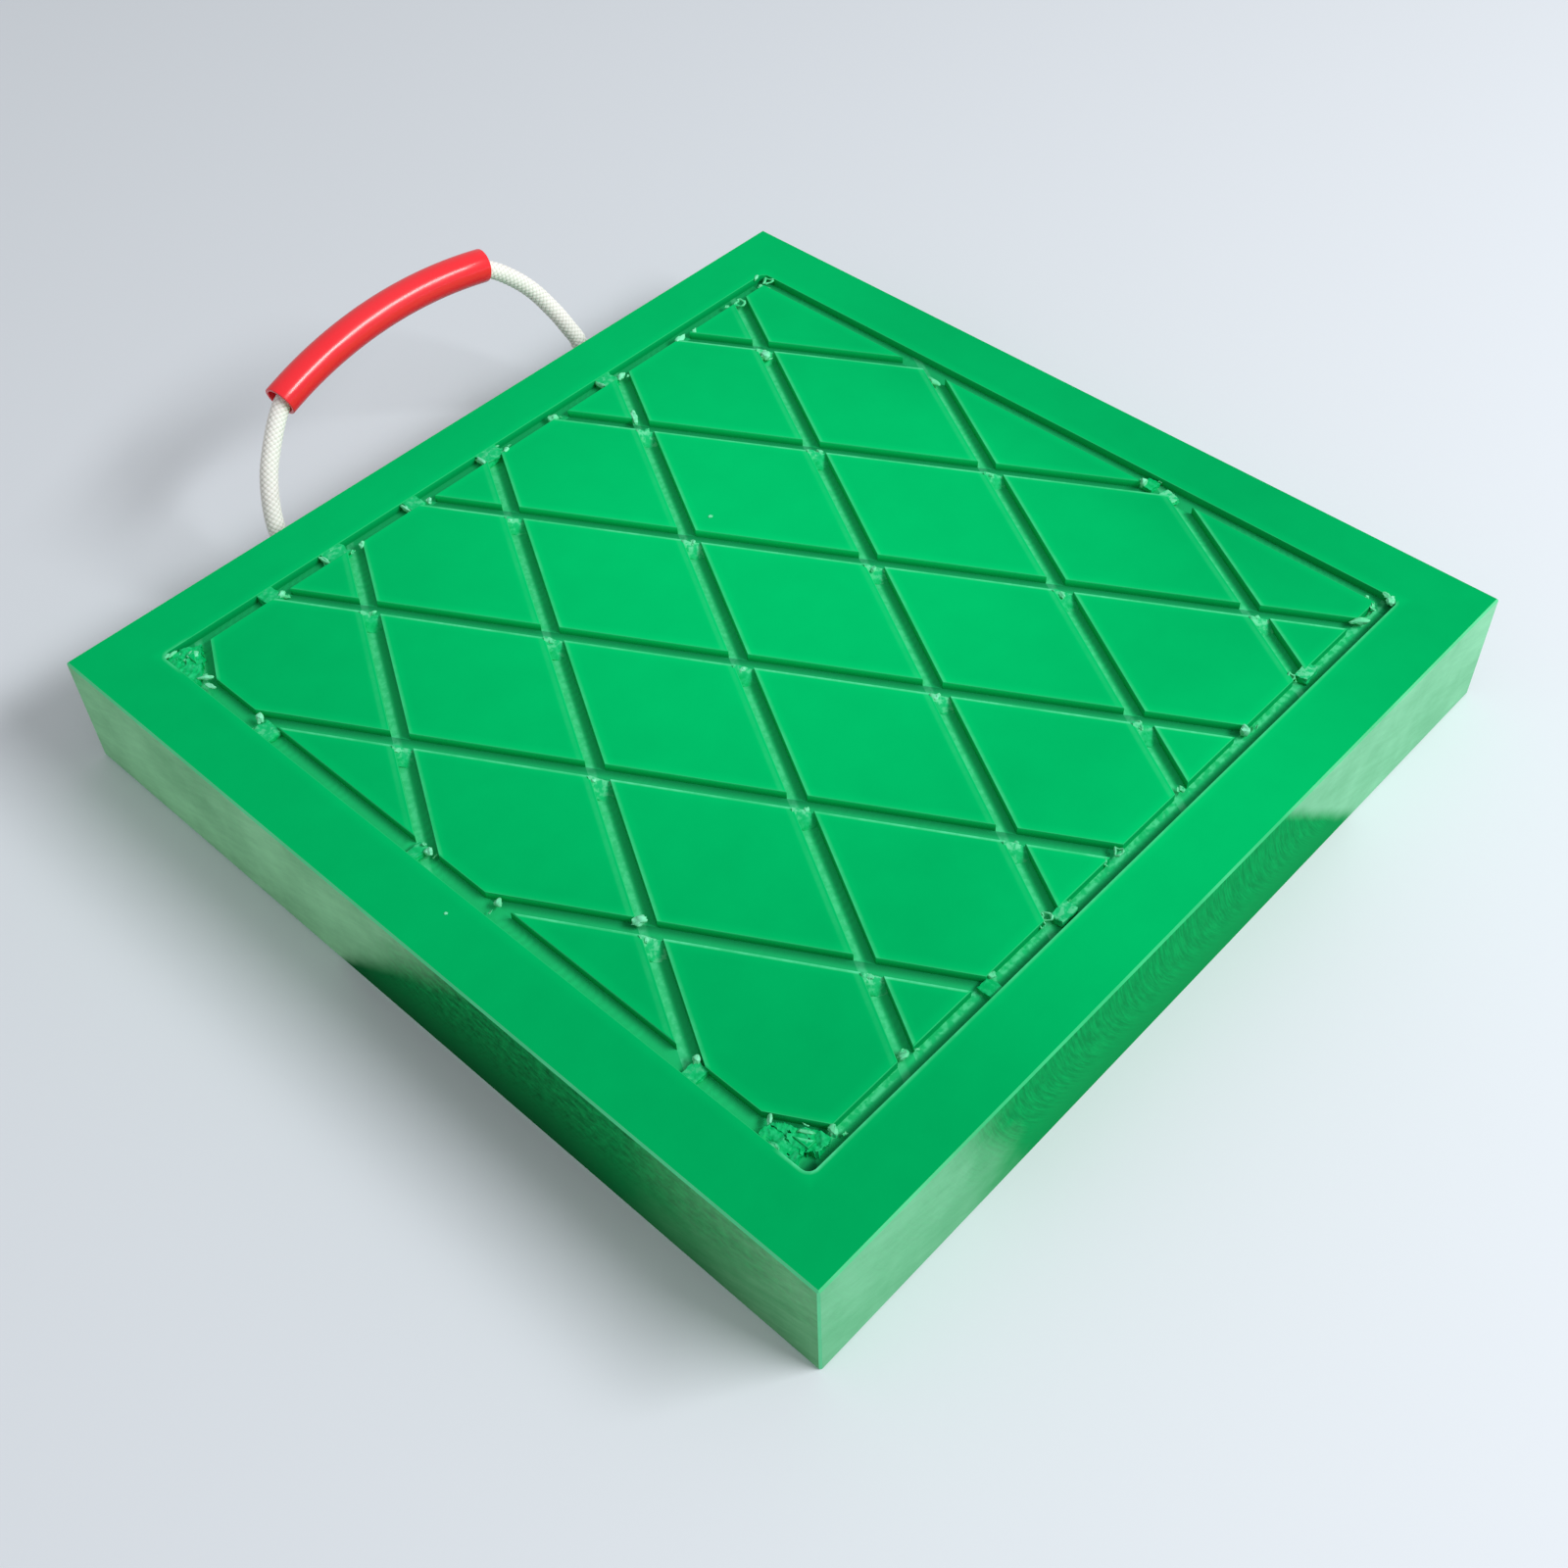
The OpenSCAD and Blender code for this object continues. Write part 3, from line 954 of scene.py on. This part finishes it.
def filled_corner(outline, holes, whiteness):
    """Smeared plastic that fills the grooves inside an outline, but for round holes; all in millimetres."""
    middle = [(min(part) + max(part)) / 2000 for part in zip(*outline)]
    bpy.ops.mesh.primitive_grid_add(x_subdivisions=CORNER_CELLS, y_subdivisions=CORNER_CELLS, size=CORNER_SIDE,
                                    location=(*middle, SLAB_TOP - 0.001))
    bit = bpy.context.object
    edit("VERT")
    mesh = bmesh.from_edit_mesh(bit.data)
    for vert in mesh.verts:
        x = (vert.co.x + middle[0]) * 1000
        y = (vert.co.y + middle[1]) * 1000
        hollow = any(math.hypot(x - cx, y - cy) < radius for cx, cy, radius in holes)
        vert.select_set(hollow or not inside_outline(x, y, outline))
    mesh.select_flush_mode()
    bmesh.update_edit_mesh(bit.data)
    bpy.ops.mesh.delete(type="VERT")
    bpy.ops.object.mode_set(mode="OBJECT")
    tear_up(bit, ((0.006, 0.003), (0.002, 0.0011)))
    modify(bit, "SOLIDIFY", thickness=0.004, offset=-1)
    whiten(bit.data, whiteness)
    return bit


def groove_crossings(pattern):
    """Places in millimetres where two lattice grooves cross inside the border."""
    step = pattern.pitch / math.sin(pattern.angle) * 1000
    rise = step * math.tan(pattern.angle) / 2
    inside = pattern.border_side * 500 - pattern.cutter * 1000
    found = []
    for row in range(-3, 4):
        for column in range(-6, 7):
            x = pattern.start_x * 1000 + (column + (row % 2) / 2) * step
            y = row * rise
            if abs(x) < inside and abs(y) < inside:
                found.append((x + pattern.shift_x * 1000, y + pattern.shift_y * 1000))
    return found


def burr_material(burrs, slab):
    """Torn polyethylene, the whiter the further it was stretched, and painted lighter towards the back and +X:
    painted light.
    """
    material, tree, shader = new_material("torn_polyethylene")
    place = tree.nodes.new("ShaderNodeTexCoord").outputs["Object"]
    grain = worked_plastic(tree, place)[1]
    x, y, z = parts_of(tree, place)
    spots = noise(tree, Field(tree, place), 330.0, 3.0).rise(0.36, 0.64)
    proud = z.rise(SLAB_TOP - 0.0032, SLAB_TOP + 0.0002)
    share = attribute(tree, "tear") * 1.25 - 0.3 + spots * 0.5 + proud * 0.4
    body = blend(tree, share.rise(0.0, 0.55), slab.green, burrs.fresh)
    body = blend(tree, share.rise(0.5, 1.05), body, burrs.pale)
    body = blend(tree, share.rise(1.15, 1.6), body, burrs.white)
    # Painted light: lighter towards the back and +X
    plug(tree, shaded(tree, body, 0.95 + y * 0.25 + x * 0.1), shader.inputs["Base Color"])
    shader.inputs["Roughness"].default_value = 0.45
    shader.inputs["Specular IOR Level"].default_value = 0.05
    bump(tree, shader, grain, 0.0002)
    return material


# Burrs seen in the grooves: kind, middle along X, Y and Z, turn in degrees, size, and whiteness
SEEN_BURRS = [
    ("lump", -248.4, -221.8, 79.2, 30, (5.6, 2.6, 3), 0.85),
    ("plug", -253.5, -176, 75.9, 90, (9, 10.8, 4.4), 0.3),
    ("lump", -248, -172, 79, 60, (5, 4, 4), 0.8),
    ("lump", -248, -26, 78.5, 60, (5, 4, 4), 0.8),
    ("lump", -250, 28, 79, 90, (5.5, 4, 4), 1.0),
    ("plug", -253.5, 34, 75.9, 90, (8, 10.8, 4.4), 0.3),
    ("lump", -250.5, 177, 79.3, 70, (6, 4.4, 5), 1.05),
    ("plug", -253.5, 167, 76.2, 90, (13, 10.8, 4.6), 0.3),
    ("lump", -251.5, 227, 79.3, -42, (8.5, 2.8, 2.6), 0.95),
    ("lump", -254, 219.5, 79.2, -70, (7, 2.4, 2.6), 0.95),
    ("lump", -245.3, 249.4, 78.9, 20, (8, 6, 2.6), 0.72),
    ("lump", -256.5, 259.5, 79.2, 0, (5, 3, 2), 0.5),
    ("lump", -253, 258.5, 79.2, 10, (6, 2.4, 2), 0.7),
    ("plug", -253.9, 249.3, 76.3, 0, (6, 9, 4), 0.0),
    ("plug", -184, 256.5, 76.9, 0, (11, 11.8, 5.4), 0.08),
    ("lump", -178, 252, 78.6, 0, (6, 4, 4), 0.8),
    ("plug", -133, 256.5, 76.9, 2, (15, 11.8, 5.4), 0.14),
    ("lump", -141, 256.5, 78.2, 10, (2.6, 9.5, 4), 0.85),
    ("lump", -117, 250, 79.2, 30, (5, 3, 4), 1.0),
    ("plug", -70, 256.5, 76.9, 0, (11, 11.8, 5.4), 0.12),
    ("lump", -76, 256.5, 78.2, 8, (2.6, 9.5, 4), 0.85),
    ("lump", -62, 251, 79, 70, (5, 3.5, 4), 0.9),
    ("plug", -5, 256.5, 77, 2, (16, 11.8, 5.4), 0.14),
    ("lump", -13.4, 256.5, 78.4, 0, (2.8, 9.5, 4), 0.9),
    ("lump", 4, 251.5, 79.2, 20, (6, 3.5, 4), 1.0),
    ("lump", 48, 254, 77.8, 0, (7, 6, 4.5), 0.7),
    ("plug", 100, 256.5, 76.8, 0, (12, 11.8, 5.2), 0.16),
    ("lump", 93.5, 256.5, 78.4, 4, (2.6, 9.5, 4), 0.9),
    ("lump", 109, 252, 79, 20, (7, 4, 4), 1.0),
    ("lump", 165.4, 251.7, 79, 10, (9, 4, 3.6), 1.0),
    ("lump", 178.3, 250.1, 79.2, 40, (5, 3.5, 3), 0.9),
    ("curl", 223.5, 249.7, 78.9, 0, (9, 8, 6), 0.5),
    ("curl", 255.6, 252.8, 78.8, 0, (9, 9, 6), 0.5),
    ("lump", 252.6, 262, 79.4, 20, (7, 2.6, 2.4), 0.7),
    ("lump", 245, 104, 77.2, 90, (13, 6, 4), 0.6),
    ("lump", 244, 90, 77.4, 90, (10, 5, 4), 0.65),
    ("plug", 253, -82, 75.6, 90, (9, 9.6, 4.2), 0.12),
    ("lump", 250, -79, 79, 80, (3.5, 5, 7.5), 1.0),
    ("plug", 249, -99, 77.4, 75, (11, 7, 4), 0.4),
    ("lump", -178, -245, 77.8, 0, (8, 5, 4), 0.65),
    ("plug", -118, -251, 75.4, 0, (9, 9.6, 4.2), 0.15),
    ("lump", -112, -247, 78, 20, (5, 4, 4), 0.55),
    ("plug", -56, -250, 76.8, 2, (13, 8.4, 5.2), 0.24),
    ("curl", -64.5, -245.5, 78.8, 20, (6, 7, 8), 0.7),
    ("curl", -70, -246.5, 78.4, 70, (5, 4, 6), 0.6),
    ("curl", -5, -247.5, 78.8, 10, (6.5, 6, 7), 0.62),
    ("lump", -15, -245, 78.2, 60, (5, 3, 3.5), 0.5),
    ("lump", 47, -244, 78, 30, (5, 3, 3.5), 0.5),
    ("lump", 54, -246, 78, 60, (4, 3, 3.5), 0.5),
    ("lump", 112.5, -247.5, 79, 45, (5.5, 4.5, 8), 1.0),
    ("plug", 174.6, -247.8, 76.9, 4, (13, 7.5, 5.4), 0.28),
    ("curl", 164.5, -243.6, 78.9, 0, (7, 5, 6), 0.6),
    ("lump", 231, -248.3, 78.6, -40, (11, 4.5, 4), 0.62),
    ("lump", 257.5, -252.5, 78.8, 40, (7.5, 5.5, 3.6), 0.8),
    ("lump", 259.5, -248, 79.2, 80, (6, 3, 2.6), 0.7),
    ("lump", -233, -248.3, 78.6, 60, (8, 4.5, 4), 0.45),
    ("plug", -252.2, -236, 76.5, 0, (8, 19, 4), 0.0),
    ("lump", -246.5, -243.6, 79.4, 0, (3, 2.4, 1.4), 0.35),
    ("lump", -257.6, -233.5, 79.3, 90, (7, 2.4, 1.6), 0.4),
    ("lump", -242.2, -239.2, 79.1, -60, (9, 2.4, 1.8), 0.5),
    ("lump", -207, -90, 79, 60, (5, 8, 5.5), 1.0),
    ("lump", -271.6, -11.7, 80.1, 0, (2.2, 1.8, 0.8), 1.0),
    ("lump", 44.7, 104.3, 80.1, 0, (3.4, 2.4, 0.9), 0.8),
    ("lump", 84, 214, 78.4, 60, (16, 4, 4), 0.9),
    ("lump", 190, 194, 79, 30, (7, 7, 5), 0.9),
    ("lump", 78, -200, 78.6, 60, (6, 3, 3), 0.5),
]

# Corners of the border that the torn land fills: an outline and round holes in it
TORN_CORNERS = [
    ([(-257.5, -223), (-250.9, -223.4), (-250.8, -228), (-250.6, -231.5), (-251.4, -234.5), (-252.9, -238),
      (-252.7, -242), (-254.2, -246.2), (-258.2, -247.5), (-259.2, -246), (-259.2, -226)],
     [(-256, -241, 0.7)]),
    ([(-250.1, -223.5), (-248.6, -223.6), (-244.6, -230.6), (-236.8, -244.6), (-236.5, -250.5), (-241, -252.8),
      (-246.5, -251.8), (-248.6, -248.8), (-251, -246.8), (-253.4, -246), (-252, -242), (-252.2, -238),
      (-250.7, -234.3), (-249.9, -231.3), (-250.1, -228)],
     [(-247.4, -233.2, 0.7), (-244.5, -243.4, 0.8), (-249.7, -245.6, 0.9)]),
    ([(-253.4, 259.5), (-247.1, 259.3), (-240.7, 255.7), (-236.2, 252.5), (-251.6, 230.6), (-255.1, 229.4),
      (-259.2, 227.6), (-259.2, 258)],
     [(-254.8, 251.4, 1.7), (-253, 247.2, 1.4)]),
]


# Corners with random loose bits: place along X and Y, and how many bits
LOOSE_CORNERS = ((-258, 261, 3), (258, -254, 5), (257, 259, 4))


class TornBits:
    """The bits of torn plastic laid so far, and the shapes that they are copied from."""

    def __init__(self, seed):
        self.chance = random.Random(seed)
        kinds = (("lump", 7), ("plug", 4), ("flake", 7), ("curl", 4))
        self.shapes = {kind: [torn_shape(kind, start * 10 + number) for number in range(count)]
                       for start, (kind, count) in enumerate(kinds)}
        self.bits = []

    def leave(self, kind, place, turn, size, whiteness, tilt=0.0, skew=0.0):
        """Lays a bit of one kind, with a shape drawn at random; place and size are in millimetres."""
        shape = self.chance.choice(self.shapes[kind])
        self.bits.append(torn_copy(shape, place, turn, size, tilt, whiteness, skew))

    def leave_seen(self):
        """Lays the burrs that are seen, each with a small flake beside it."""
        chance = self.chance
        for kind, x, y, z, turn, size, whiteness in SEEN_BURRS:
            tilt = math.radians(chance.uniform(-25, 25)) if kind == "curl" else 0.0
            self.leave(kind, (x, y, z), math.radians(turn), size, whiteness, tilt)
            spot = (x + chance.uniform(-9, 9), y + chance.uniform(-5, 5), chance.uniform(76, 79.5))
            crumb = chance.uniform(1.2, 2.2)
            size = (crumb * 1.7, crumb, crumb * 1.4)
            self.leave("flake", spot, chance.uniform(0, 6), size, 0.7, chance.uniform(0, 1))

    def leave_at_crossings(self, pattern):
        """Lays what the second set of grooves pushed back at each crossing: a sloped plug and a lump."""
        chance = self.chance
        cos = math.cos(pattern.angle)
        sin = math.sin(pattern.angle)
        for x, y in groove_crossings(pattern):
            run = chance.uniform(11, 15)
            slope = math.asin(5.8 / run)
            back = 5.5 + run * math.cos(slope) / 2
            spot = (x - back * cos, y - back * sin, 76.8 - 2.7 * math.cos(slope))
            whiteness = chance.uniform(0.3, 0.5)
            self.leave("plug", spot, pattern.angle + math.pi / 2, (11.8, run, 5.4), whiteness, -slope, -cos / sin)
            back = chance.uniform(5.5, 8)
            aside = chance.uniform(-4, 2.5)
            spot = (x - back * cos + aside * sin, y - back * sin - aside * cos, chance.uniform(78.8, 79.4))
            self.leave("lump", spot, chance.uniform(0, 3), (chance.uniform(3, 6), 3, 2.2), chance.uniform(0.4, 0.85))

    def leave_at_corners(self):
        """Fills the border's torn corners, where the cutter went in, and strews loose bits in three of them."""
        chance = self.chance
        for outline, holes in TORN_CORNERS:
            self.bits.append(filled_corner(outline, holes, 0.06))
        for x, y, count in LOOSE_CORNERS:
            for _ in range(count):
                reach = chance.uniform(2, 20)
                share = chance.random()
                spot = (x - math.copysign(reach * share + 5, x), y - math.copysign(reach * (1 - share) + 5, y),
                        chance.uniform(76.5, 79.4))
                size = (chance.uniform(2.5, 5), chance.uniform(2, 3.5), chance.uniform(2, 3))
                kind = "flake" if chance.random() < 0.4 else "lump"
                self.leave(kind, spot, chance.uniform(0, 6), size, chance.uniform(0.4, 0.8), chance.uniform(0, 0.8))


class PAD_OT_burrs(bpy.types.Operator):
    """Leaves torn plastic in the grooves, where the cutter crossed or ran out"""

    bl_idname = "pad.burrs"
    bl_label = "Milling burrs"

    def execute(self, context):
        settings = context.scene.outrigger_pad
        torn = TornBits(settings.burrs.seed)
        torn.leave_seen()
        torn.leave_at_crossings(settings.pattern)
        torn.leave_at_corners()
        burrs = joined(torn.bits, "milling_burrs")
        bpy.ops.object.shade_smooth_by_angle(angle=math.radians(70))
        burrs.data.materials.append(burr_material(settings.burrs, settings.slab))
        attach(burrs, "root")
        return {"FINISHED"}


class PAD_PT_panel(bpy.types.Panel):
    """The pad's pieces"""

    bl_idname = "PAD_PT_panel"
    bl_label = "Outrigger pad"
    bl_space_type = "VIEW_3D"
    bl_region_type = "UI"
    bl_category = "Outrigger pad"

    def draw(self, context):
        for name in ("stage", "knots", "grip", "rope", "slab", "burrs"):
            self.layout.operator("pad." + name)


CLASSES = (
    PAD_PG_studio,
    PAD_PG_pattern,
    PAD_PG_slab,
    PAD_PG_rope,
    PAD_PG_grip,
    PAD_PG_burrs,
    PAD_PG_settings,
    PAD_OT_stage,
    PAD_OT_knots,
    PAD_OT_grip,
    PAD_OT_rope,
    PAD_OT_slab,
    PAD_OT_burrs,
    PAD_PT_panel,
)


def register():
    for item in CLASSES:
        bpy.utils.register_class(item)
    bpy.types.Scene.outrigger_pad = bpy.props.PointerProperty(type=PAD_PG_settings)


def unregister():
    del bpy.types.Scene.outrigger_pad
    for item in reversed(CLASSES):
        bpy.utils.unregister_class(item)


def main():
    register()
    bpy.ops.pad.stage()
    bpy.ops.pad.knots()
    bpy.ops.pad.grip()
    bpy.ops.pad.rope()
    bpy.ops.pad.slab()
    bpy.ops.pad.burrs()


if __name__ == "__main__":
    main()
